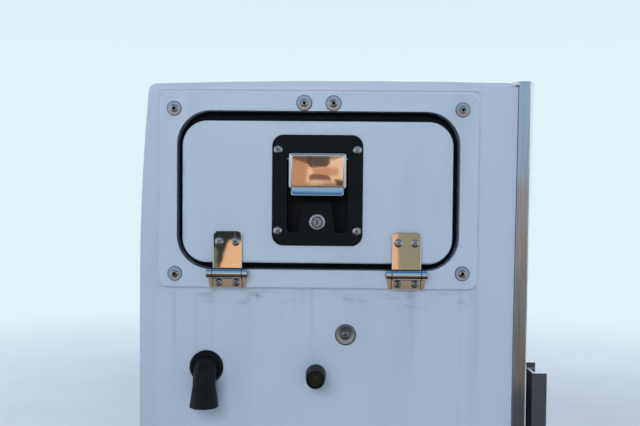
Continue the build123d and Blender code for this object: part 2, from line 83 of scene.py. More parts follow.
# Dished washer and its screw on the rear face, from the middle of the hatch frame
CUP_X = 38.4 * MM
CUP_DROP = 192.2 * MM
CUP_SCREW_HEAD = 6.6 * MM
CUP_SCREW_HEIGHT = 3.6 * MM

# Screws of the latch trays and hinges; the middle door's low ones clear the wheel flare
SCREW_HEAD = 5.7 * MM
SCREW_HEIGHT = 3.4 * MM
LOW_SCREW_HEIGHT = 1.3 * MM
SCREW_CROSS = 2.5 * MM
TRAY_SCREW_HEAD = 6.1 * MM
TRAY_SCREW_X = 52 * MM
TRAY_SCREW_Z = 53.5 * MM
STRAP_SCREW_STEP = 10.9 * MM
STRAP_SCREW_UP = 42 * MM
LEAF_SCREW_STEP = 11.5 * MM
LEAF_SCREW_DOWN = 12.5 * MM

# Paddle and lock, from the middle of the latch plate
PADDLE_WIDTH = 75.7 * MM
PADDLE_TALL = 46.8 * MM
PADDLE_LOW = 2.4 * MM
PADDLE_ROUND = 3.0 * MM
PADDLE_PLATE = 1.6 * MM
PADDLE_CROWN = 0.07 * MM
LIP_WIDTH = 70 * MM
LIP_TOP = 4.0 * MM
LIP_DROP = 10.7 * MM
LIP_OUT = 5.0 * MM
LIP_ROUND = 4.7 * MM
PIVOT = 1.5 * MM
PIVOT_UP = 41.4 * MM
PIVOT_START = 0.47 * PADDLE_WIDTH
PIVOT_REACH = 40 * MM
LOCK_BELOW = 41.8 * MM
LOCK_RADIUS = 10.75 * MM
LOCK_PROUD = 2.0 * MM
KEY_SLOT = 3.6 * MM

# Hinges
BARREL = 6.8 * MM
STRAP_WIDTH = 38.5 * MM
BARREL_LENGTH = 54 * MM
PIN_HEAD = 3.4 * MM
PIN_PROUD = 0.9 * MM
HINGE_FOLD = 6.6 * MM
STRAP_LONG = 56.4 * MM
STRAP_ROUND = 7 * MM
BARREL_OVER_STRAP = 8.8 * MM
BARREL_OVER_LEAF = 11.8 * MM

# Corner angle and the bead beside it, as X in from the trim's outer edge at some heights
ANGLE_HEIGHTS = (0.0, 0.70, 0.80, 0.95, 1.0)
ANGLE_FOLD = 2.7 * MM
ANGLE_LEFT = 19.8 * MM
ANGLE_LEAN = 3.1 * MM
ANGLE_PLATE = 2 * MM
BEAD_LOW = 0.80
BEAD_PROUD = 0.7 * MM
BEAD_SPLAY = 5.6 * MM
SMEAR_LONG = 12 * MM
SMEAR_DEEP = 4.5 * MM
SMEAR_LEFT = 14 * MM
SMEAR_FORWARD = 3.5 * MM
SMEAR_SUNK = 1.2 * MM

# Optics of the lamps, and fasteners of the sides
OPTIC = 5.6 * MM
OPTIC_HEIGHT = 1.6 * MM
OPTIC_STEP = 19 * MM
OPTIC_ROW = 14.5 * MM
ANGLE_BOLT = 13 * MM
ANGLE_BOLT_HEIGHT = 6 * MM
ANGLE_BOLT_UP = 33 * MM
ANGLE_BOLT_OUT = 6 * MM
ANGLE_BOLTS = (0.12, 0.5, 0.88)
ANGLE_END = 10 * MM
CHANNEL_WASHER = 8 * MM
CHANNEL_BOLT_OUT = 4 * MM
CHANNEL_BOLT_BACK = 15 * MM
CHANNEL_BOLTS = (0.05, 0.15, 0.25)
RIVET = 3.4 * MM
RIVET_FORWARD = 8 * MM
CORNER_RIVETS = (0.08, 0.245, 0.41, 0.575)
SHELF_RIVETS = (0.2, 0.5, 0.8)
SHELF_RIVET_IN = 12 * MM
SHELF_RIVET_UP = 3 * MM

# Directions of a face: columns are right, up and outward, as seen from outside
REAR = Matrix(((1, 0, 0), (0, 0, -1), (0, 1, 0)))
STREET = Matrix(((0, 0, -1), (-1, 0, 0), (0, 1, 0)))
CARGO = Matrix(((0, 0, 1), (1, 0, 0), (0, 1, 0)))


def at(face, place):
    """A matrix that stands a piece on a face: its Z points out of the face."""
    return Matrix.Translation(place) @ face.to_4x4()


def shift(x, y, z=0.0):
    return Matrix.Translation((x, y, z))


def twist(seed):
    """A turn about Z that differs from screw to screw."""
    return Matrix.Rotation(math.sin(seed * 91.7) * 1.2, 4, "Z")


def corners(node):
    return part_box(node)


def middle(node):
    low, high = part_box(node)
    return (low + high) / 2


frame_low, frame_high = corners("hatch_frame")
frame_middle = middle("hatch_frame")
rear_face = corners("rear_end")[0].y
trim_high = corners("corner_trim")[1]


# Colours
def srgb(red, green, blue):
    """A colour as it looks in a picture, 0 to 255, as the linear value a shader takes."""
    def linear(value):
        share = value / 255
        return share / 12.92 if share <= 0.04045 else ((share + 0.055) / 1.055) ** 2.4
    return (linear(red), linear(green), linear(blue), 1.0)


class Nodes:
    """Short ways to add nodes to a tree, and to build up a colour in it."""

    def __init__(self, tree, coordinates, colour):
        self.tree = tree
        self.place = tree.nodes.new("ShaderNodeTexCoord").outputs[coordinates]
        self.colour = colour

    def put(self, socket, value):
        """Set a socket to a number or colour, or link an output to it."""
        if isinstance(value, bpy.types.NodeSocket):
            self.tree.links.new(value, socket)
        else:
            socket.default_value = value

    def math(self, operation, first, second=0.0, third=None):
        node = self.tree.nodes.new("ShaderNodeMath")
        node.operation = operation
        self.put(node.inputs[0], first)
        self.put(node.inputs[1], second)
        if third is not None:
            self.put(node.inputs[2], third)
        return node.outputs[0]

    def chain(self, operation, total, *others):
        for other in others:
            total = self.math(operation, total, other)
        return total

    def product(self, *factors):
        return self.chain("MULTIPLY", *factors)

    def most(self, *masks):
        return self.chain("MAXIMUM", *masks)

    def stretched(self, stretch):
        """The place on the piece, with each axis scaled by stretch."""
        node = self.tree.nodes.new("ShaderNodeMapping")
        self.put(node.inputs["Vector"], self.place)
        node.inputs["Scale"].default_value = stretch
        return node.outputs["Vector"]

    def noise(self, scale, detail=2.0, stretch=(1, 1, 1)):
        """Cloudy values about 0.5, with features about 1/scale metres across."""
        node = self.tree.nodes.new("ShaderNodeTexNoise")
        self.put(node.inputs["Vector"], self.stretched(stretch))
        node.inputs["Scale"].default_value = scale
        node.inputs["Detail"].default_value = detail
        return node.outputs["Fac"]

    def cells(self, scale, feature="F1", stretch=(1, 1, 1)):
        node = self.tree.nodes.new("ShaderNodeTexVoronoi")
        node.feature = feature
        self.put(node.inputs["Vector"], self.stretched(stretch))
        node.inputs["Scale"].default_value = scale
        return node.outputs["Distance"]

    def ramp(self, value, low, high, start=0.0, end=1.0):
        """Go smoothly from start to end as value goes from low to high."""
        node = self.tree.nodes.new("ShaderNodeMapRange")
        node.interpolation_type = "SMOOTHSTEP"
        self.put(node.inputs["Value"], value)
        for socket, number in zip(("From Min", "From Max", "To Min", "To Max"), (low, high, start, end)):
            node.inputs[socket].default_value = number
        return node.outputs["Result"]

    def clouds(self, scale, detail, low, high, start=0.0, end=1.0, stretch=(1, 1, 1)):
        """Noise, carried smoothly from start to end as it goes from low to high."""
        return self.ramp(self.noise(scale, detail, stretch), low, high, start, end)

    def axis(self, letter):
        node = self.tree.nodes.new("ShaderNodeSeparateXYZ")
        self.put(node.inputs[0], self.place)
        return node.outputs[letter]

    def near(self, value, target, reach):
        """1 where value is target, falling to 0 at reach away from it."""
        away = self.math("ABSOLUTE", self.math("SUBTRACT", value, target))
        return self.ramp(away, 0, reach, 1, 0)

    def within(self, value, low, high, edge):
        """1 between low and high, falling to 0 over edge outside them."""
        return self.product(self.ramp(value, low - edge, low), self.ramp(value, high, high + edge, 1, 0))

    def patch(self, x_low, x_high, z_low, z_high, edge):
        """1 in an upright rectangle, falling to 0 over edge outside it."""
        return self.product(self.within(self.axis("X"), x_low, x_high, edge),
                            self.within(self.axis("Z"), z_low, z_high, edge))

    def from_point(self, x, z):
        """How far right of a point, above it and away from it, seen from behind."""
        across = self.math("SUBTRACT", self.axis("X"), x)
        up = self.math("SUBTRACT", self.axis("Z"), z)
        away = self.math("SQRT", self.math("ADD", self.product(across, across), self.product(up, up)))
        return across, up, away

    def mix(self, kind, mask, below, above):
        node = self.tree.nodes.new("ShaderNodeMix")
        node.data_type = kind
        for socket, value in (("Factor", mask), ("A", below), ("B", above)):
            self.put(node.inputs[socket], value)
        return node.outputs["Result"]

    def tint(self, mask, colour):
        """Lay a colour over what is there, where the mask, or each mask of a tuple, says."""
        if isinstance(mask, tuple):
            mask = self.product(*mask)
        self.colour = self.mix("RGBA", mask, self.colour, colour)


class Finish(Nodes):
    """A material, with ways to add to its roughness and relief too."""

    def __init__(self, name, colour, roughness, **sockets):
        self.material = bpy.data.materials.new(name)
        self.material.use_nodes = True
        super().__init__(self.material.node_tree, "Object", colour)
        self.shader = self.tree.nodes["Principled BSDF"]
        for socket, value in dict(Base_Color=colour, Roughness=roughness, **sockets).items():
            self.shader.inputs[socket.replace("_", " ")].default_value = value
        self.roughness = roughness
        self.normal = None

    def roughen(self, mask, value):
        self.roughness = self.mix("FLOAT", mask, self.roughness, value)

    def relief(self, height, depth):
        """Raise the surface by height times depth metres, in shading only."""
        node = self.tree.nodes.new("ShaderNodeBump")
        node.inputs["Strength"].default_value = 1.0
        node.inputs["Distance"].default_value = depth
        self.put(node.inputs["Height"], height)
        self.normal = node.outputs["Normal"]

    def done(self):
        linked = {"Base Color": self.colour, "Roughness": self.roughness, "Normal": self.normal}
        for socket, value in linked.items():
            if isinstance(value, bpy.types.NodeSocket):
                self.put(self.shader.inputs[socket], value)
        return self.material


# Materials
# GEL is written greyer and bluer than the white the gel-coat is: partly a painted shade of blue sky light.
GEL = srgb(180, 190, 204)
GRIME = srgb(120, 120, 120)
DUST = srgb(176, 170, 160)


def gel_base(name):
    """Cool white gel-coat with a faint mottle, rain marks and a fine ripple."""
    coat = Finish(name, GEL, 0.3, Coat_Weight=0.45, Coat_Roughness=0.1)
    coat.tint(coat.clouds(3.5, 3, 0.35, 0.75, 0, 0.3), srgb(176, 187, 203))
    coat.tint(coat.clouds(9, 4, 0.52, 0.8, 0, 0.12, stretch=(1.6, 1.6, 0.25)), GRIME)
    coat.tint(coat.clouds(420, 2, 0.72, 0.8, 0, 0.25), srgb(136, 138, 140))
    coat.roughen(coat.clouds(14, 4, 0.35, 0.7), 0.4)
    coat.relief(coat.noise(130, 2), 0.05 * MM)
    return coat


def gel_rear():
    """The rear face: dirt round the hatch frame, a painted shadow line over it, run-down marks and scuffs
    below it.
    """
    coat = gel_base("gel_coat_rear")
    low, high = frame_low, frame_high
    x, z = coat.axis("X"), coat.axis("Z")
    wander = coat.noise(40, 3)
    across = coat.within(x, low.x, high.x, 2 * MM)
    upright = coat.within(z, low.z, high.z, 2 * MM)
    outline = coat.most(
        coat.product(coat.most(coat.near(z, low.z, 5 * MM), coat.near(z, high.z, 4 * MM)), across),
        coat.product(coat.most(coat.near(x, high.x, 5 * MM), coat.near(x, low.x, 4 * MM)), upright))
    coat.tint((outline, coat.ramp(wander, 0.3, 0.6, 0.1, 0.4)), srgb(150, 146, 150))
    # Painted shadow: a thin blue-grey line just above the hatch frame's top edge.
    coat.tint((coat.near(z, high.z + 2.6 * MM, 1.6 * MM), across, 0.5), srgb(128, 142, 168))
    drip_line = coat.near(z, high.z + 5.5 * MM, 2.0 * MM)
    coat.tint((drip_line, across, coat.clouds(12, 3, 0.35, 0.65, 0.1, 0.8)), srgb(206, 196, 198))
    below = coat.ramp(z, low.z - 0.26, low.z, 0, 1)
    under = coat.ramp(z, low.z, low.z + 2 * MM, 1, 0)
    run = coat.noise(60, 3, (1, 1, 0.06))
    side = coat.near(x, high.x - 2 * MM, 12 * MM)
    coat.tint((side, below, under, coat.ramp(run, 0.3, 0.65), 0.3), srgb(132, 134, 142))
    coat.tint((below, under, across, coat.ramp(run, 0.56, 0.76), 0.22), srgb(126, 130, 138))
    film = coat.within(z, low.z - 22 * MM, low.z, 8 * MM)
    coat.tint((film, across, coat.clouds(70, 4, 0.56, 0.7, stretch=(0.5, 1, 2)), 0.28), GRIME)
    smudge = coat.product(coat.near(x, frame_middle.x - 83 * MM, 15 * MM),
                          coat.near(z, low.z - 11 * MM, 8 * MM))
    coat.tint((smudge, coat.clouds(150, 4, 0.4, 0.6), 0.6), srgb(104, 104, 110))
    coat.tint((coat.ramp(z, 0.05, 0.62, 1, 0), coat.clouds(7, 5, 0.4, 0.75), 0.35), DUST)
    return coat.done()


def gel_frame():
    """The hatch frame: the same gel-coat, dirty in the corner of its outer edge."""
    coat = gel_base("gel_coat_frame")
    low, high = frame_low, frame_high
    x, z = coat.axis("X"), coat.axis("Z")
    edge = coat.most(
        coat.near(z, low.z, 3 * MM), coat.near(x, high.x, 1.6 * MM),
        coat.near(z, high.z, 2.5 * MM), coat.near(x, low.x, 2.0 * MM))
    coat.tint((edge, coat.clouds(45, 3, 0.35, 0.65, 0.05, 0.35)), srgb(156, 152, 156))
    bolts = coat.noise(260, 3)
    for bolt_x, bolt_z, radius in FRAME_BOLTS:
        ring = coat.product(coat.near(x, frame_middle.x + bolt_x * MM, (radius + 2.5) * MM),
                            coat.near(z, frame_middle.z + (bolt_z - 3) * MM, (radius + 4) * MM))
        coat.tint((ring, coat.ramp(bolts, 0.35, 0.65), 0.45), srgb(128, 118, 110))
    return coat.done()


def gel_door():
    """The hatch: the same gel-coat, stained along its left edge and under the latch."""
    coat = gel_base("gel_coat_door")
    low, high = corners("hatch_door")
    x, z = coat.axis("X"), coat.axis("Z")
    coat.tint((coat.near(x, low.x, 7 * MM), coat.clouds(50, 4, 0.4, 0.65), 0.5), srgb(148, 132, 116))
    rim = coat.most(coat.near(z, low.z, 4 * MM), coat.near(x, high.x, 4 * MM))
    coat.tint((rim, coat.clouds(60, 4, 0.4, 0.65), 0.35), srgb(140, 136, 134))
    return coat.done()


def weathered(name, colour, roughness, clouds, tone, rough, relief, **sockets):
    """A finish with clouds of another tone and roughness, and a relief of some mm, not done yet."""
    skin = Finish(name, colour, roughness, **sockets)
    skin.tint(skin.clouds(*clouds), tone)
    if rough:
        scale, detail, other = rough
        skin.roughen(skin.clouds(scale, detail, 0.4, 0.7), other)
    scale, detail, depth = relief
    skin.relief(skin.noise(scale, detail), depth * MM)
    return skin


def sealant():
    """Off-white sealant, a little soiled."""
    return weathered("sealant", srgb(198, 197, 206), 0.5, (60, 4, 0.5, 0.75, 0, 0.45), srgb(164, 158, 162),
                     None, (180, 3, 0.2)).done()


def highlit_white_edge():
    """The gel-coat of the edge that the trim doesn't cover, painted whiter than the rest as a painted
    highlight, with some dirt.
    """
    return weathered("gel_coat_edge_painted_highlight", srgb(232, 234, 234), 0.35, (40, 3, 0.55, 0.8, 0, 0.4),
                     srgb(190, 180, 178), None, (160, 2, 0.06), Coat_Weight=0.4).done()


def inner_laminate():
    """Bare inner moulding, with chopped strands showing through the resin."""
    wall = Finish("inner_laminate", srgb(180, 184, 186), 0.55)
    strands = wall.cells(90, "F1", (1, 0.35, 1))
    wall.tint(wall.ramp(strands, 0.1, 0.5, 0, 0.3), srgb(150, 154, 156))
    wall.tint(wall.clouds(6, 4, 0.5, 0.8, 0, 0.3), DUST)
    wall.relief(strands, 0.3 * MM)
    return wall.done()


def rubber(name, colour, roughness, grain, dusty):
    """Moulded rubber with a fine grain and dust lying in it."""
    return weathered(name, colour, roughness, (70, 4, 0.5, 0.85, 0, dusty), srgb(70, 70, 70),
                     (30, 3, roughness + 0.15), (grain, 3, 0.12), Specular_IOR_Level=0.16).done()


def stop_rubber():
    """The bumper: black at its rim, olive where its face has weathered, with a light fleck."""
    skin = Finish("stop_rubber", srgb(8, 9, 10), 0.5, Specular_IOR_Level=0.14)
    centre = middle("bumper")
    x, z = skin.axis("X"), skin.axis("Z")
    face = skin.product(skin.near(x, centre.x, 14 * MM), skin.near(z, centre.z, 14 * MM))
    skin.tint(skin.ramp(face, 0.15, 0.6, 0, 0.9), srgb(30, 28, 12))
    skin.tint(skin.clouds(300, 3, 0.55, 0.7, 0, 0.2), srgb(50, 47, 34))
    fleck = skin.product(skin.near(x, centre.x + 1.2 * MM, 2.4 * MM),
                         skin.near(z, centre.z + 3.2 * MM, 2.4 * MM))
    skin.tint(skin.ramp(fleck, 0.2, 0.8), srgb(72, 68, 54))
    skin.relief(skin.noise(500, 3), 0.12 * MM)
    return skin.done()


def polished_steel(name="polished_stainless", waves=0.02):
    """Pressed stainless, polished, with slow waves and hair scratches, not done yet."""
    steel = Finish(name, (0.84, 0.82, 0.80, 1), 0.03, Metallic=1.0)
    steel.tint(steel.clouds(60, 3, 0.55, 0.8, 0, 0.15), (0.62, 0.60, 0.57, 1))
    steel.roughen(steel.clouds(300, 3, 0.6, 0.8, stretch=(1, 1, 0.08)), 0.1)
    steel.relief(steel.noise(55, 1), waves * MM)
    return steel


def hinge_steel(door, node):
    """Polished hinge steel with dirt in the joints between the knuckles, and painted shade along the fold
    where the strap meets the barrel.
    """
    steel = polished_steel("hinge_stainless_" + node)
    upright = door in ("rear", "front")
    run = "z" if upright else ("x" if HINGES[door][0] is REAR else "y")
    across = "y" if upright else "z"
    joints_and_fold_shade = []
    for hinge in hinge_frames(door):
        along = steel.math("SUBTRACT", steel.axis(run.upper()), getattr(hinge.translation, run))
        joints_and_fold_shade.append(steel.near(steel.math("ABSOLUTE", along), STRAP_WIDTH / 2 + 0.2 * MM, 1.1 * MM))
    # Painted shade along the fold where the strap meets the barrel.
    fold = (hinge @ shift(0, HINGE_FOLD)).translation
    joints_and_fold_shade.append(steel.near(steel.axis(across.upper()), getattr(fold, across), 1.3 * MM))
    steel.tint(steel.ramp(steel.most(*joints_and_fold_shade), 0.2, 0.7), (0.06, 0.055, 0.05, 1))
    steel.roughen(steel.most(*joints_and_fold_shade), 0.6)
    return steel.done()


def dull_steel(name, tone, dirt, shine):
    """Plain stainless of fasteners, with dirt lying on it, not done yet."""
    return weathered(name, (tone, tone, tone, 1), shine, (220, 3, 0.45, 0.7, 0, dirt),
                     (0.13, 0.12, 0.11, 1), (260, 2, shine + 0.2), (700, 2, 0.04), Metallic=1.0)


def washer_zinc():
    """Dull zinc washers in a blue grey near the gel-coat's tone, partly a painted reflection of the sky, with
    some dirt, a darker blue-grey rim and a tan crescent low down that is a painted reflection of the ground.
    """
    zinc = weathered("washer_zinc", srgb(150, 161, 179), 0.45, (200, 4, 0.45, 0.7, 0, 0.5),
                     srgb(138, 134, 132), (260, 2, 0.6), (500, 2, 0.05), Metallic=0.3)
    for x, z, radius in FRAME_BOLTS:
        _, up, away = zinc.from_point(frame_middle.x + x * MM, frame_middle.z + z * MM)
        here = zinc.ramp(away, (radius + 0.5) * MM, (radius + 1) * MM, 1, 0)
        reflection_band = zinc.within(away, 5.2 * MM, (radius - 1.8) * MM, 1.2 * MM)
        rim = zinc.ramp(away, (radius - 1.6) * MM, (radius - 0.6) * MM, 0, 0.6)
        # Painted reflection of the ground: a tan crescent low on each washer.
        zinc.tint((here, zinc.ramp(up, -5 * MM, 1 * MM, 1, 0), reflection_band, 0.8), srgb(176, 152, 128))
        zinc.tint((here, rim), srgb(96, 104, 120))
    return zinc.done()


def cup_steel():
    """The dished washer: dull steel whose ring is painted lighter and warmer than its rim and its dish, most
    at the lower left, as a painted reflection.
    """
    steel = dull_steel("cup_stainless", 0.27, 0.6, 0.4)
    across, up, away = steel.from_point(frame_middle.x + CUP_X, frame_middle.z - CUP_DROP)
    reflection_band = steel.within(away, 8.4 * MM, 11.6 * MM, 1.0 * MM)
    # Painted reflection: the ring is lightest at the lower left.
    low_left_reflection = steel.ramp(steel.math("ADD", across, up), -9 * MM, 8 * MM, 1, 0.35)
    steel.tint((reflection_band, low_left_reflection, 0.8), (0.42, 0.36, 0.30, 1))
    steel.tint(steel.ramp(away, 12.4 * MM, 13.2 * MM, 0, 0.8), (0.10, 0.12, 0.17, 1))
    return steel.done()


def lock_zinc(name, tone, dirt):
    """The lock's plated zinc, with grime in its scratches."""
    return weathered(name, (tone, tone, tone * 1.04, 1), 0.4, (420, 4, 0.45, 0.65, 0, dirt),
                     (0.12, 0.12, 0.13, 1), (300, 2, 0.55), (380, 3, 0.12), Metallic=1.0).done()


def shade_fill(name, colour):
    """A dark fill painted into recesses and joints as their shade, mottled like dirt."""
    return weathered(name, colour, 0.9, (300, 3, 0.5, 0.75, 0, 0.5), srgb(44, 40, 36),
                     None, (600, 2, 0.1), Specular_IOR_Level=0.1).done()


def black_tray():
    """Powder-coated pressing, near black, with its fine dimple and a little dust."""
    return weathered("black_powder_coat", srgb(9, 12, 16), 0.42, (25, 4, 0.5, 0.8, 0, 0.15), srgb(34, 36, 40),
                     (40, 3, 0.52), (900, 2, 0.03), Specular_IOR_Level=0.14).done()


def trim_aluminium():
    """Extruded aluminium, drawn along its length, darker and warmer towards the ground, with painted
    reflections of the sky above and of the tail board channel low down.
    """
    # The blue of the base colour is a painted reflection of the sky.
    metal = Finish("trim_aluminium", (0.54, 0.62, 0.70, 1), 0.26, Metallic=1.0)
    z = metal.axis("Z")
    metal.tint(metal.ramp(z, 0.86, 1.06, 0.75, 0), (0.42, 0.39, 0.37, 1))
    metal.tint(metal.within(z, 0.94, 1.02, 0.03), (0.56, 0.50, 0.50, 1))
    # Painted reflection: dark blue-grey below the top of the tail board channel, as the channel mirrored in
    # the trim.
    metal.tint(metal.ramp(z, 0.74, 0.78, 1, 0), (0.22, 0.26, 0.32, 1))
    metal.tint(metal.clouds(24, 4, 0.45, 0.75, 0, 0.1, stretch=(1, 1, 0.2)), (0.38, 0.38, 0.38, 1))
    metal.roughen(metal.clouds(500, 2, 0.35, 0.7, stretch=(1, 1, 0.02)), 0.36)
    metal.relief(metal.noise(900, 2, (1, 1, 0.01)), 0.008 * MM)
    return metal.done()


def shelf_aluminium():
    metal = Finish("shelf_aluminium", (0.60, 0.61, 0.62, 1), 0.42, Metallic=1.0)
    metal.tint(metal.clouds(18, 4, 0.45, 0.75, 0, 0.4), (0.42, 0.42, 0.41, 1))
    metal.roughen(metal.clouds(400, 2, 0.4, 0.7, stretch=(1, 0.02, 1)), 0.55)
    metal.relief(metal.noise(600, 2, (1, 0.02, 1)), 0.03 * MM)
    return metal.done()


def painted_steel(name, node):
    """Dark grey paint on steel, scuffed and dusty, with painted highlights along its top edge and 8 mm below
    it.
    """
    paint = Finish(name, srgb(62, 62, 66), 0.5)
    top = corners(node)[1].z
    z = paint.axis("Z")
    paint.tint(paint.clouds(35, 4, 0.5, 0.75, 0, 0.35), srgb(92, 90, 86))
    paint.tint(paint.clouds(160, 3, 0.66, 0.74, 0, 0.5), srgb(88, 68, 54))
    # Painted highlights: bright lines at the top edge and 8 mm below it.
    highlight_strip = paint.most(paint.near(z, top, 0.8 * MM), paint.near(z, top - 8 * MM, 0.8 * MM))
    paint.tint((highlight_strip, 0.85), srgb(196, 190, 190))
    paint.relief(paint.noise(240, 3), 0.06 * MM)
    return paint.done()


def lens(name, colour, deep):
    """A ribbed plastic lens over a dark well, coloured right through."""
    shell = Finish(name, colour, 0.12, Coat_Weight=0.5, Coat_Roughness=0.05)
    ribs = shell.cells(150, "SMOOTH_F1")
    shell.tint(shell.ramp(ribs, 0.05, 0.6), deep)
    shell.relief(ribs, 0.4 * MM)
    return shell.done()


# The face that each door's hinges and latch are on, and how many hinges it has
HINGES = {"hatch": (REAR, 2), "middle": (STREET, 4), "rear": (STREET, 3), "front": (STREET, 3)}


def hinge_frames(door):
    """Matrices at the middles of a door's hinges: X along the pin, Y to the door, Z outward."""
    face, count = HINGES[door]
    local = [face.transposed() @ corner for corner in corners(door + "_hinge_straps")]
    small = [min(pair) for pair in zip(*local)]
    large = [max(pair) for pair in zip(*local)]
    out = large[2] - BARREL
    upright = door in ("rear", "front")
    run = 1 if upright else 0
    line = small[1 - run] + BARREL
    first = small[run] + STRAP_WIDTH / 2
    last = large[run] - STRAP_WIDTH / 2
    turn = Matrix.Rotation(-math.pi / 2 if upright else 0, 4, "Z")
    frames = []
    for step in range(count):
        along = first + (last - first) * step / (count - 1)
        spot = Vector((line, along, out) if upright else (along, line, out))
        frames.append(face.to_4x4() @ Matrix.Translation(spot) @ turn)
    return frames


SKIN = gel_base("gel_coat").done()
SEALANT = sealant()
HIGHLIT_WHITE_EDGE = highlit_white_edge()
LAMINATE = inner_laminate()
SEAL = rubber("seal_rubber", srgb(20, 21, 24), 0.75, 600, 0.12)
BLACK_RUBBER = rubber("black_rubber", srgb(10, 12, 15), 0.42, 420, 0.08)
PADDLE = polished_steel("paddle_stainless", 0.0).done()
BOLT = dull_steel("bolt_stainless", 0.46, 0.75, 0.24).done()
# The leaf screws' steel is a darker, dirtier copy of the screws': painted shade from the hinge barrels beside
# them, with more dirt.
SHADED_LEAF_BOLT = dull_steel("leaf_stainless_painted_shade", 0.34, 0.95, 0.3).done()
DARK_BOLT = dull_steel("dark_stainless", 0.24, 0.7, 0.42).done()
WASHERS = washer_zinc()
RECESS_SHADE = shade_fill("recess_painted_shade", srgb(14, 15, 18))
JOINT_SHADOW = shade_fill("joint_painted_shadow", srgb(74, 84, 100))
LOCK_RING = lock_zinc("lock_ring", 0.5, 0.4)
LOCK_PLUG = lock_zinc("lock_plug", 0.4, 0.6)
TRAY = black_tray()
TRIM = trim_aluminium()
SHELF = shelf_aluminium()
RED = lens("red_lens", srgb(190, 30, 30), srgb(96, 10, 12))
AMBER = lens("amber_lens", srgb(226, 136, 36), srgb(150, 76, 14))
CLEAR = lens("clear_lens", srgb(206, 212, 216), srgb(126, 132, 138))

finishes = {
    "rear_end": gel_rear(), "hatch_frame": gel_frame(), "hatch_door": gel_door(), "front_end": SKIN,
    "top_deck": SKIN, "street_side": SKIN, "cargo_side": SKIN, "corner_trim": TRIM,
    "bumper": stop_rubber(), "vent_elbow": BLACK_RUBBER, "wheel_flare": BLACK_RUBBER,
    "lamp_grommets": BLACK_RUBBER, "tail_lamp": RED, "turn_lamp": AMBER, "backup_lamp": CLEAR,
    "tail_board_channel": painted_steel("channel_paint", "tail_board_channel"),
    "mounting_angles": painted_steel("angle_paint", "mounting_angles"),
    "rear_shelf": SHELF, "front_shelf": SHELF, "shelf_cleats": SHELF, "strikers": BOLT,
}
for door in HINGES:
    finishes.setdefault(door + "_door", SKIN)
    finishes[door + "_seal"] = SEAL
    for node in (door + "_hinge_leaves", door + "_hinge_straps"):
        finishes[node] = hinge_steel(door, node)
    finishes[door + "_latch_tray"] = TRAY
    finishes[door + "_latch_pull"] = PADDLE
for name, node in frame["nodes"].items():
    node.data.materials.clear()
    node.data.materials.append(finishes.get(name, LAMINATE))


# Meshes
def placed(name, data):
    """A new object, linked to the scene."""
    thing = bpy.data.objects.new(name, data)
    bpy.context.scene.collection.objects.link(thing)
    return thing


def rounded(width, height, radii, level, steps):
    """A rectangle's outline with a radius for each corner, from the right top one leftwards."""
    points = []
    quarters = ((1, 1, 0), (-1, 1, 90), (-1, -1, 180), (1, -1, 270))
    for (side_x, side_y, start), radius in zip(quarters, radii):
        for step in range(steps + 1):
            angle = math.radians(start + 90 * step / steps)
            points.append((side_x * (width / 2 - radius) + radius * math.cos(angle),
                           side_y * (height / 2 - radius) + radius * math.sin(angle), level))
    return points


def pressed(width, height, radii, rows, ease=1.0, least=0.1 * MM, steps=5):
    """Rings of a pressed plate, from rows of inset and level in mm; ease shrinks its radii."""
    rings = []
    for inset, level in rows:
        inset *= MM
        inner = [max(radius - ease * inset, least) for radius in radii]
        rings.append(rounded(width - 2 * inset, height - 2 * inset, inner, level * MM, steps))
    return rings


def circle(radius, level, steps=32, sides=0, squash=1.0):
    """A ring of points, round or with flat sides, narrowed along X by squash."""
    points = []
    for step in range(steps):
        angle = 2 * math.pi * step / steps
        reach = radius
        if sides:
            half = math.pi / sides
            reach = radius * math.cos(half) / math.cos(angle % (2 * half) - half)
        points.append((squash * reach * math.cos(angle), reach * math.sin(angle), level))
    return points


def turned(rows, lift=0.0, steps=32):
    """Rings of a turned shape, from rows of radius and level in mm."""
    return [circle(radius * MM, lift + level * MM, steps) for radius, level in rows]


def cross(arm, level, steps=32):
    """A ring in the shape of a cross recess."""
    points = []
    for step in range(steps):
        angle = 2 * math.pi * step / steps
        share = max(abs(math.cos(angle)), abs(math.sin(angle)))
        reach = arm if share > math.cos(math.pi / steps * 2.1) else arm * 0.42 / max(share, 0.75)
        points.append((reach * math.cos(angle), reach * math.sin(angle), level))
    return points


def dome(radius, height, top, rows=5):
    """Rings of a domed head, from a flat of radius top out to its rim."""
    rings = []
    for row in range(rows + 1):
        angle = math.pi / 2 * row / rows
        rings.append(circle(top + (radius - top) * math.sin(angle), height * math.cos(angle)))
    return rings


class Mesh:
    """Vertices and faces gathered from many small shapes, made into one piece."""

    def __init__(self):
        self.points = []
        self.faces = []

    def rings(self, rings, place=Matrix.Identity(4), start_cap=True, end_cap=False):
        """Skin a row of rings that have as many points each, with flat caps where asked."""
        first = len(self.points)
        count = len(rings[0])
        self.points += [place @ Vector(point) for ring in rings for point in ring]
        for row in range(len(rings) - 1):
            base = first + row * count
            for step in range(count):
                after = (step + 1) % count
                self.faces.append([base + step, base + count + step, base + count + after, base + after])
        if start_cap:
            self.faces.append(list(range(first, first + count)))
        if end_cap:
            self.faces.append(list(range(len(self.points) - count, len(self.points))))

    def piece(self, name, finish, body="box", slot="hinge_steel", sharp=32):
        """One object of it all, riding on a body, with edges sharp above so many degrees."""
        mesh = bpy.data.meshes.new(name)
        mesh.from_pydata([tuple(point) for point in self.points], [], self.faces)
        mesh.validate()
        shape = bmesh.new()
        shape.from_mesh(mesh)
        bmesh.ops.recalc_face_normals(shape, faces=shape.faces)
        shape.to_mesh(mesh)
        shape.free()
        mesh.materials.append(finish)
        mesh.shade_smooth()
        mesh.set_sharp_from_angle(angle=math.radians(sharp))
        piece = placed(name, mesh)
        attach(piece, body)
        return piece


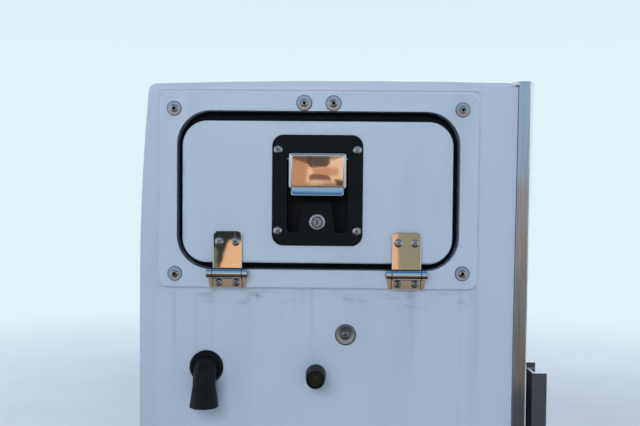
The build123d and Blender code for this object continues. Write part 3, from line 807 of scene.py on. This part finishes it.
def button_head(mesh, place, base):
    """A button head with a deep hexagon socket, seated at base."""
    socket = [circle(BOLT_SOCKET, level, sides=6) for level in (0.4 * MM - base, BOLT_HEIGHT)]
    head = dome(BOLT_HEAD, BOLT_HEIGHT, BOLT_SOCKET * 1.3) + [circle(BOLT_HEAD, 0)]
    mesh.rings(socket + head, place @ shift(0, 0, base))


def washer(mesh, place, radius):
    """A washer with a rounded rim and a slightly dished face."""
    rows = ((BOLT_HEAD * 0.7, 0.8), (radius * 0.72, 0.92), (radius * 0.86, 1),
            (radius * 0.95, 0.82), (radius, 0.35), (radius, 0))
    mesh.rings([circle(reach, WASHER_THICK * level) for reach, level in rows], place, start_cap=False)


def hexagon_bolt(mesh, place, across, tall):
    """A hexagon head with a chamfered top, on a flat washer."""
    washer(mesh, place, across * 0.95)
    head = [circle(across * 0.4, tall), circle(across * 0.46, tall),
            circle(across * 0.56, tall * 0.86, sides=6), circle(across * 0.58, 0, sides=6)]
    mesh.rings(head, place @ shift(0, 0, WASHER_THICK))


def rivet(mesh, place):
    """A blind rivet: a low dome with the stub of its pin sunk in it."""
    height = RIVET * 0.42
    rings = [circle(RIVET * 0.24, height * 0.4), circle(RIVET * 0.28, height)]
    mesh.rings(rings + dome(RIVET, height, RIVET * 0.4, 4), place)


def cross_screw(mesh, place, head=SCREW_HEAD, height=SCREW_HEIGHT):
    """A pan head with a cross recess sunk in its dome."""
    arm = SCREW_CROSS * head / SCREW_HEAD
    deep = height * 0.4
    rings = [cross(arm * 0.55, deep), cross(arm, height)] + dome(head, height, head * 0.5)
    mesh.rings(rings, place)


# Hinges and latches of every door
def latch_frame(door):
    """Matrix at the middle of a door's latch plate, with Z outward from its face."""
    face = HINGES[door][0]
    tray_low = corners(door + "_latch_tray")[0]
    low, high = corners(door + "_latch_pull")
    centre = (low + high) / 2
    centre.z = low.z + LOCK_RADIUS + LOCK_BELOW
    if face is REAR:
        centre.y = tray_low.y
    else:
        centre.x = tray_low.x
    return at(face, centre)


def paddle(door):
    """The pull: a pressed plate with a rim, a groove and a crowned face, a flared lip and its pins."""
    latch = latch_frame(door)
    mesh = Mesh()
    rows = ((0, -1.6), (0, -0.3), (0.12, 0.1), (0.4, 0.42), (0.9, 0.56), (1.4, 0.5), (1.65, 0.3),
            (1.8, -0.1), (2.1, -0.2), (2.2, 0.3), (2.4, 0.75), (2.8, 1.0), (3.3, 1.1))
    rings = pressed(PADDLE_WIDTH, PADDLE_TALL, [PADDLE_ROUND] * 4, rows, 0.25)
    edge = rings[-1]
    wide, tall = (max(abs(point[side]) for point in edge) for side in (0, 1))
    for share in (0.96, 0.88, 0.76, 0.62, 0.46, 0.3, 0.14, 0.03):
        ring = []
        for x, y, level in edge:
            x, y = x * share, y * share
            ring.append((x, y, level + PADDLE_CROWN * (1 - (x / wide) ** 2) * (1 - (y / tall) ** 2)))
        rings.append(ring)
    mesh.rings(rings, latch @ shift(0, PADDLE_LOW + PADDLE_TALL / 2), end_cap=True)
    length = math.hypot(LIP_DROP, LIP_OUT)
    tilt = Matrix.Rotation(-math.atan2(LIP_OUT, LIP_DROP), 4, "X")
    radii = (0.2 * MM, 0.2 * MM, LIP_ROUND, LIP_ROUND)
    rows = ((0, -1.6), (0, -0.5), (0.35, 0), (1.3, 0.1), (1.7, -0.05))
    rings = pressed(LIP_WIDTH, length, radii, rows)
    mesh.rings(rings, latch @ shift(0, LIP_TOP) @ tilt @ shift(0, -length / 2), end_cap=True)
    for side in (-1, 1):
        pin = latch @ shift(side * PIVOT_START, PIVOT_UP, -PADDLE_PLATE)
        pin = pin @ Matrix.Rotation(side * math.pi / 2, 4, "Y")
        ends = [circle(PIVOT, level, 12) for level in (0, PIVOT_REACH - PIVOT_START)]
        mesh.rings(ends, pin, end_cap=True)
    return mesh.piece(door + "_paddle", PADDLE, door + "_door_body", sharp=50)


def lock(door):
    """The lock: a bevelled ring round a sunk plug with a turned groove and a key slot."""
    top, body = LOCK_PROUD, door + "_door_body"
    place = latch_frame(door) @ shift(0, -LOCK_BELOW)
    slot = [circle(KEY_SLOT, top - down * MM, squash=0.26) for down in (3, 0.5)]
    rows = ((4.0, -0.5), (4.3, -0.9), (4.8, -0.9), (5.1, -0.5), (6.0, -0.5), (6.4, -0.8), (6.4, -1.9))
    plug, ring, dirt = Mesh(), Mesh(), Mesh()
    plug.rings(slot + turned(rows, top), place)
    plug.piece(door + "_lock_plug", LOCK_PLUG, body)
    rows = ((7.4, -1.9), (7.4, -0.35), (7.7, 0), (9.0, 0), (9.9, -0.35), (10.5, -0.9), (10.75, -1.5),
            (10.75, -2.0))
    ring.rings(turned(rows, top), place, start_cap=False)
    ring.piece(door + "_lock_ring", LOCK_RING, body)
    # A near-black floor in the gap between the plug and the ring: painted shade.
    dirt.rings([circle(7.5 * MM, 0.35 * MM), circle(7.5 * MM, 0)], place)
    dirt.piece(door + "_lock_gap_shade", RECESS_SHADE, body, "seal_rubber")


def door_fasteners(door):
    """Screws of a door's latch and hinges, the ends of the hinge pins and the straps' worn rims."""
    body = door + "_door_body"
    screws = Mesh()
    for x in (-TRAY_SCREW_X, TRAY_SCREW_X):
        for z in (-TRAY_SCREW_Z, TRAY_SCREW_Z):
            cross_screw(screws, latch_frame(door) @ shift(x, z) @ twist(x + 2 * z), TRAY_SCREW_HEAD)
    screws.piece(door + "_tray_screws", BOLT, body)
    straps, leaves, rim = Mesh(), Mesh(), Mesh()
    rows = ((0, -0.5), (0, -0.1), (0.15, 0.1), (0.45, 0.2), (0.8, 0.12), (1.0, 0))
    radii = [STRAP_ROUND] * 2 + [0.3 * MM] * 2
    rim_rings = pressed(STRAP_WIDTH, STRAP_LONG, radii, rows, least=0.3 * MM)
    height = LOW_SCREW_HEIGHT if door == "middle" else SCREW_HEIGHT
    for hinge in hinge_frames(door):
        for side in (-1, 1):
            spot = hinge @ shift(side * STRAP_SCREW_STEP, STRAP_SCREW_UP, BARREL - BARREL_OVER_STRAP)
            cross_screw(straps, spot @ twist(side), SCREW_HEAD, height)
            spot = hinge @ shift(side * LEAF_SCREW_STEP, -LEAF_SCREW_DOWN, BARREL - BARREL_OVER_LEAF)
            cross_screw(leaves, spot @ twist(side * 2), SCREW_HEAD * 0.92)
            end = hinge @ shift(side * BARREL_LENGTH / 2, 0) @ Matrix.Rotation(side * math.pi / 2, 4, "Y")
            leaves.rings([circle(2.0 * MM, PIN_PROUD)] + dome(PIN_HEAD, PIN_PROUD, 2.2 * MM, 3), end)
        rim.rings(rim_rings, hinge @ shift(0, STRAP_LONG / 2, BARREL - BARREL_OVER_STRAP), start_cap=False)
    straps.piece(door + "_strap_screws", BOLT, body)
    rim.piece(door + "_strap_rims", PADDLE, body, sharp=60)
    # The leaf screws and pin ends take the darker steel: painted shade.
    leaves.piece(door + "_leaf_screws", SHADED_LEAF_BOLT)


for door in HINGES:
    door_fasteners(door)
    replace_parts(paddle(door), door + "_latch_pull")
    lock(door)


# Rear face
def frame_bolts():
    heads, washers, dirt = Mesh(), Mesh(), Mesh()
    for x, z, radius in FRAME_BOLTS:
        place = at(REAR, (frame_middle.x + x * MM, frame_low.y, frame_middle.z + z * MM))
        washer(washers, place, radius * MM)
        spun = place @ twist(x + z)
        button_head(heads, spun, WASHER_THICK * 0.8)
        # Near-black floors in the hexagon sockets: painted shade.
        dirt.rings([circle(BOLT_SOCKET * 0.97, level, sides=6) for level in (1.2 * MM, BOLT_HEIGHT)], spun)
        # A near-black ring round the foot of each washer: painted shade where it meets the frame.
        rim = (radius + 0.55) * MM
        dirt.rings([circle(radius * 0.97 * MM, 0.35 * MM), circle(rim - 0.2 * MM, 0.3 * MM), circle(rim, 0)],
                   place, start_cap=False)
    heads.piece("frame_bolts", BOLT)
    washers.piece("frame_washers", WASHERS)
    dirt.piece("frame_bolt_shade", RECESS_SHADE, slot="seal_rubber")


def cup_washer():
    """A dished washer with a domed screw in it."""
    place = at(REAR, (frame_middle.x + CUP_X, rear_face, frame_middle.z - CUP_DROP))
    rows = ((5.6, 0.5), (7.6, 0.7), (9.6, 1.3), (11.4, 2.1), (12.4, 2.3), (13.4, 2.0), (14.0, 1.2), (14.2, 0))
    cup = Mesh()
    cup.rings(turned(rows, steps=40), place, start_cap=False)
    cup.piece("cup_washer", cup_steel(), sharp=60)
    screw = Mesh()
    cross_screw(screw, place @ shift(0, 0, 0.4 * MM), CUP_SCREW_HEAD, CUP_SCREW_HEIGHT)
    screw.piece("cup_screw", DARK_BOLT)


def frame_sealant():
    """A bead of sealant in the corner between the hatch frame and the rear face."""
    size = frame_high - frame_low
    rows = ((-1.9, 0), (-1.3, 0.5), (-0.6, 1.5), (0, 2.9))
    rings = pressed(size.x, size.z, [FRAME_ROUND] * 4, rows, steps=8)
    bead = Mesh()
    bead.rings(rings, at(REAR, (frame_middle.x, rear_face, frame_middle.z)), start_cap=False)
    bead.piece("frame_sealant", SEALANT, slot="gelcoat", sharp=80)


def angle_side(height):
    """How far in from the trim's outer edge its rear leg ends, at a height."""
    share = max(0.0, (height - ANGLE_HEIGHTS[1]) / (trim_high.z - ANGLE_HEIGHTS[1]))
    return ANGLE_LEFT - ANGLE_LEAN * share


def bead_side(height):
    """How far out from the skin's corner the bead reaches, at a height."""
    share = max(0.0, (height - BEAD_LOW) / (trim_high.z - BEAD_LOW))
    return BEAD_PROUD + BEAD_SPLAY * share


def corner_angle():
    """The aluminium angle, its rear leg a little out of plumb, and the bead beside it, painted bright as a
    highlight.
    """
    outer = trim_high.x
    skin_side = outer - ANGLE_PLATE
    proud = rear_face - ANGLE_PLATE
    back = trim_high.y
    metal, bead, joint = Mesh(), Mesh(), Mesh()
    metal_rings, bead_rings, joint_rings = [], [], []
    for share in ANGLE_HEIGHTS:
        z = trim_high.z * share
        left = outer - angle_side(z)
        fold = outer - ANGLE_FOLD
        metal_rings.append([
            (left, rear_face, z), (left, rear_face - 1.6 * MM, z), (left + 0.4 * MM, proud, z),
            (fold - 0.6 * MM, proud, z), (fold, rear_face - 1.5 * MM, z), (fold, rear_face, z)])
        tip = skin_side + bead_side(z)
        bead_rings.append([
            (fold + 0.6 * MM, rear_face, z), (fold + 0.6 * MM, rear_face - 1.2 * MM, z),
            (fold + 0.9 * MM, rear_face - 1.6 * MM, z), (fold + 1.3 * MM, rear_face - 1.6 * MM, z),
            (tip, rear_face + (tip - fold) * 1.1, z), (tip, back, z), (skin_side, back, z),
            (skin_side, rear_face, z)])
        # A blue-grey strip in the joint left of the angle: a painted shadow line.
        joint_rings.append([
            (left - 0.9 * MM, rear_face, z), (left - 0.7 * MM, rear_face - 0.5 * MM, z),
            (left + 0.2 * MM, rear_face - 0.9 * MM, z), (left + 0.2 * MM, rear_face, z)])
    metal.rings(metal_rings, end_cap=True)
    bead.rings(bead_rings, end_cap=True)
    joint.rings(joint_rings, end_cap=True)
    joint.piece("corner_joint", JOINT_SHADOW, slot="seal_rubber")
    angle = metal.piece("corner_angle", TRIM, slot="trim_aluminium")
    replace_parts(angle, "corner_trim")
    # The bead is painted whiter than the gel-coat: a painted highlight.
    bead.piece("corner_bead", HIGHLIT_WHITE_EDGE, slot="gelcoat")
    rivets = Mesh()
    for z in CORNER_RIVETS:
        rivet(rivets, at(CARGO, (skin_side + bead_side(z), rear_face + RIVET_FORWARD, z)))
    rivets.piece("corner_rivets", TRIM, slot="trim_aluminium")


def corner_smear():
    """Leftover sealant on the top corner, in a rough low mound."""
    rings = []
    for reach, level in ((1.02, -3.5), (1.0, -0.5), (0.93, 0.5), (0.7, 1.1), (0.35, 1.5)):
        ring = []
        for step in range(36):
            angle = 2 * math.pi * step / 36
            rough = 1 + 0.13 * math.sin(3 * angle + 1) + 0.09 * math.sin(7 * angle + 2)
            rough = reach * (rough + 0.05 * math.sin(13 * angle))
            ring.append((SMEAR_LONG * rough * math.cos(angle), SMEAR_DEEP * rough * math.sin(angle),
                         level * MM + 0.3 * MM * math.sin(5 * angle) * reach))
        rings.append(ring)
    smear = Mesh()
    spot = (trim_high.x - SMEAR_LEFT, rear_face + SMEAR_FORWARD, trim_high.z - SMEAR_SUNK)
    place = Matrix.Translation(spot)
    smear.rings(rings, place @ Matrix.Rotation(-0.09, 4, "Y"), start_cap=False, end_cap=True)
    smear.piece("corner_smear", SEALANT, slot="gelcoat", sharp=60)


frame_bolts()
cup_washer()
frame_sealant()
corner_angle()
corner_smear()


# Sides
def cargo_bolts():
    """Bolts of the mounting angles and of the tail board channel's foot."""
    bolts = Mesh()
    skin_x = corners("cargo_side")[1].x
    low, high = corners("mounting_angles")
    rear_end = corners("rear_divider")[0].y - ANGLE_END
    front_start = corners("front_divider")[1].y + ANGLE_END
    for start, end in ((low.y, rear_end), (front_start, high.y)):
        for share in ANGLE_BOLTS:
            y = start + (end - start) * share
            spot = (skin_x + ANGLE_BOLT_OUT, y, low.z + ANGLE_BOLT_UP)
            hexagon_bolt(bolts, at(CARGO, spot) @ twist(y), ANGLE_BOLT, ANGLE_BOLT_HEIGHT)
    low, high = corners("tail_board_channel")
    for up in CHANNEL_BOLTS:
        z = low.z + up
        spot = (low.x + CHANNEL_BOLT_OUT, high.y - CHANNEL_BOLT_BACK, z)
        washer(bolts, at(CARGO, spot), CHANNEL_WASHER)
        button_head(bolts, at(CARGO, spot) @ twist(z), WASHER_THICK * 0.8)
    bolts.piece("cargo_bolts", DARK_BOLT)


def lamp_optics():
    """Domed optics in rows on each lamp's lens."""
    for node, finish, slot in (("tail_lamp", RED, "red_lens"), ("turn_lamp", AMBER, "amber_lens"),
                               ("backup_lamp", CLEAR, "clear_lens")):
        low, high = corners(node)
        centre = (low + high) / 2
        domes = Mesh()
        for row in (-1, 0, 1):
            count = 7 if row == 0 else 6
            for step in range(count):
                x = (step - (count - 1) / 2) * OPTIC_STEP
                place = at(REAR, (centre.x + x, low.y, centre.z + row * OPTIC_ROW))
                domes.rings(dome(OPTIC, OPTIC_HEIGHT, 0.8 * MM, 4), place)
        domes.piece(node + "_optics", finish, slot=slot)


def shelf_rivets():
    """Rivets through the shelves' ends into their cleats."""
    rivets = Mesh()
    for node in ("rear_shelf", "front_shelf"):
        low, high = corners(node)
        for y in (low.y + SHELF_RIVET_IN, high.y - SHELF_RIVET_IN):
            for share in SHELF_RIVETS:
                x = low.x + (high.x - low.x) * share
                rivet(rivets, Matrix.Translation((x, y, low.z + SHELF_RIVET_UP)))
    rivets.piece("shelf_rivets", SHELF, slot="shelf_metal")


cargo_bolts()
lamp_optics()
shelf_rivets()


# Studio
PALE = srgb(224, 243, 249)
WORLD_LIGHT = 0.62
FLOOR = 40.0
CARD = 1.6


def seen_directly(nodes):
    """1 on the rays by which a background shows: straight, in reflections and through glass."""
    rays = nodes.tree.nodes.new("ShaderNodeLightPath").outputs
    return nodes.most(rays["Is Camera Ray"], rays["Is Glossy Ray"], rays["Is Transmission Ray"])


def world():
    """A pale sky that turns bluer overhead, weaker as a light than as a view."""
    sky = bpy.data.worlds.new("studio_sky")
    sky.use_nodes = True
    bpy.context.scene.world = sky
    nodes = Nodes(sky.node_tree, "Generated", PALE)
    nodes.tint(nodes.ramp(nodes.axis("Z"), 0.12, 1.0), srgb(84, 134, 198))
    shader = nodes.tree.nodes["Background"]
    nodes.put(shader.inputs["Color"], nodes.colour)
    nodes.put(shader.inputs["Strength"], nodes.ramp(seen_directly(nodes), 0, 1, WORLD_LIGHT, 1.0))


def flat_sheet(name, half, near, far):
    """A sheet of the stage, from the Y and Z of its near edge to those of its far edge."""
    mesh = bpy.data.meshes.new(name)
    mesh.from_pydata([(-half, *near), (half, *near), (half, *far), (-half, *far)], [], [(0, 1, 2, 3)])
    sheet = placed(name, mesh)
    return sheet


def floor():
    """A pale floor that fades into the sky's colour away from the box."""
    plane = flat_sheet("floor", FLOOR, (-FLOOR, 0), (FLOOR, 0))
    paint = Finish("floor_paint", srgb(214, 216, 218), 0.9)
    tree = paint.tree
    paint.tint(paint.clouds(3, 5, 0.35, 0.7, 0, 0.25), srgb(196, 196, 196))
    away = tree.nodes.new("ShaderNodeVectorMath")
    away.operation = "LENGTH"
    tree.links.new(paint.place, away.inputs[0])
    fade = paint.ramp(away.outputs["Value"], 1.6, 4.6)
    glow = tree.nodes.new("ShaderNodeEmission")
    glow.inputs["Color"].default_value = PALE
    blend = tree.nodes.new("ShaderNodeMixShader")
    tree.links.new(paint.product(fade, seen_directly(paint)), blend.inputs[0])
    tree.links.new(paint.shader.outputs[0], blend.inputs[1])
    tree.links.new(glow.outputs[0], blend.inputs[2])
    tree.links.new(blend.outputs[0], tree.nodes["Material Output"].inputs["Surface"])
    plane.data.materials.append(paint.done())


def card(name, half, near, far, paint):
    """A glowing card of the studio that shows only in reflections."""
    sheet = flat_sheet(name, half, near, far)
    glow = paint.tree.nodes.new("ShaderNodeEmission")
    paint.put(glow.inputs["Color"], paint.colour)
    paint.tree.links.new(glow.outputs[0], paint.tree.nodes["Material Output"].inputs["Surface"])
    sheet.data.materials.append(paint.material)
    sheet.visible_camera = False
    sheet.visible_diffuse = False
    sheet.visible_shadow = False
    sheet.visible_transmission = False


def reflectors():
    """Cards behind the camera, on the ground and overhead, for the bright metal to mirror."""
    back = rear_face - CAMERA_BACK - CARD_BACK
    paint = Finish("reflector_card", srgb(120, 158, 186), 1.0)
    x, z = paint.axis("X"), paint.axis("Z")
    central = paint.ramp(paint.math("ABSOLUTE", x), 0.8, 0.95, 1, 0)
    paint.tint((paint.within(z, 1.2, 1.62, 0.12), central), srgb(214, 232, 240))
    for low, high, tone in ((0.98, 1.14, srgb(104, 116, 110)), (0.84, 0.96, srgb(172, 150, 132)),
                            (0.5, 0.58, srgb(142, 130, 112)), (0.1, 0.4, srgb(64, 56, 50))):
        paint.tint(paint.ramp(z, low, high, 1, 0), tone)
    orange = (0.92, 0.52, 0.28, 1)
    figure = paint.patch(-0.30, 0.28, 0.86, 1.34, 0.03)
    paint.tint(figure, (0.95, 0.60, 0.38, 1))
    shade = paint.math("MULTIPLY_ADD", paint.noise(22, 2), 1.3, -0.65)
    folds = (
        (-0.125, -0.035, 1.145, 1.30, 0.03, (62, 56, 52)), (-0.30, -0.13, 1.168, 1.30, 0.022, (92, 68, 52)),
        (-0.03, 0.30, 1.19, 1.30, 0.014, (92, 72, 60)), (-0.12, -0.02, 1.040, 1.064, 0.022, (112, 78, 60)),
        (0.03, 0.30, 0.90, 1.040, 0.03, (66, 46, 38)), (-0.30, 0.06, 0.90, 1.012, 0.016, (96, 62, 46)),
        (-0.30, -0.17, 1.03, 1.14, 0.05, (196, 140, 104)), (-0.10, 0.02, 1.09, 1.115, 0.03, (206, 148, 110)),
    )
    for *place, tone in folds:
        fold = paint.ramp(paint.math("ADD", paint.patch(*place), shade), 0.3, 0.75, 0, 0.92)
        paint.tint((fold, figure), srgb(*tone))
    left = paint.ramp(x, -0.38, -0.34, 1, 0)
    paint.tint((left, paint.within(z, 0.56, 0.86, 0.02)), srgb(44, 50, 48))
    edge = paint.math("MULTIPLY_ADD", z, 0.33, -0.785)
    # A lighter strip on the card, for a highlight along the left strap's rim.
    highlight_strip = paint.product(paint.ramp(x, -0.606, -0.592, 1, 0), paint.within(z, 0.56, 0.69, 0.03), left)
    paint.tint(highlight_strip, srgb(118, 122, 106))
    lit = paint.ramp(paint.math("SUBTRACT", x, edge), -0.004, 0.004)
    paint.tint((lit, paint.within(z, 0.56, 0.738, 0.008), left), orange)
    right = paint.within(z, 0.56, 0.86, 0.02)
    paint.tint((right, paint.within(x, 0.24, 0.326, 0.006)), orange)
    paint.tint((right, paint.within(x, 0.336, 0.60, 0.008)), srgb(152, 146, 124))
    card("reflector", CARD, (back, 0), (back, 2.3), paint)
    ground = Finish("ground_card", srgb(150, 134, 116), 1.0)
    # Painted shadow: the ground card darkens towards the box, as the box's shadow on the ground.
    ground.tint(ground.ramp(ground.axis("Y"), rear_face - 2.1, rear_face - 1.5), srgb(44, 38, 34))
    ground.tint(ground.clouds(5, 4, 0.45, 0.6, 0, 0.5), srgb(96, 84, 72))
    card("ground_reflector", CARD, (back, 0.01), (rear_face - 0.03, 0.01), ground)
    above = Finish("sky_card", srgb(62, 104, 154), 1.0)
    above.tint(above.ramp(above.axis("Y"), rear_face - 1.7, rear_face - 0.9, 1, 0), srgb(140, 180, 214))
    above.tint(above.clouds(0.6, 3, 0.4, 0.7, 0, 0.25), srgb(110, 152, 192))
    card("sky_reflector", CARD * 2.5, (back, 2.3), (1.0, 3.4), above)


def lamp(name, place, aim, size, power, colour):
    data = bpy.data.lights.new(name, "AREA")
    data.shape = "RECTANGLE"
    data.size, data.size_y = size
    data.energy = power
    data.color = colour
    light = placed(name, data)
    light.location = place
    light.rotation_euler = (Vector(aim) - Vector(place)).to_track_quat("-Z", "Y").to_euler()
    light.visible_camera = False


def camera():
    data = bpy.data.cameras.new("camera")
    data.lens = LENS_MM
    data.sensor_width = 36.0
    eye = placed("camera", data)
    eye.location = (CAMERA_SIDE, rear_face - CAMERA_BACK, CAMERA_HEIGHT)
    yaw, pitch = math.radians(CAMERA_YAW), math.radians(CAMERA_PITCH)
    ahead = Vector((math.sin(yaw) * math.cos(pitch), math.cos(yaw) * math.cos(pitch), -math.sin(pitch)))
    turn = ahead.to_track_quat("-Z", "Y") @ Quaternion((0, 0, 1), math.radians(CAMERA_ROLL))
    eye.rotation_mode = "QUATERNION"
    eye.rotation_quaternion = turn
    bpy.context.scene.camera = eye


world()
floor()
reflectors()
lamp("key", (2.6, -1.2, 3.8), (0, -0.6, 0.7), (2.4, 3.2), 95, (1.0, 0.98, 0.95))
lamp("fill", (-1.2, -5.4, 2.9), (0, -1.3, 0.8), (3.2, 2.0), 104, (0.93, 0.96, 1.0))
lamp("street", (-3.8, 0.6, 2.8), (0, 0, 0.6), (2.6, 3.0), 90, (0.92, 0.96, 1.0))
lamp("far_end", (1.2, 4.6, 2.8), (0, 1.0, 0.6), (3.0, 2.0), 70, (0.95, 0.97, 1.0))
camera()
bpy.context.scene.view_settings.view_transform = "Standard"
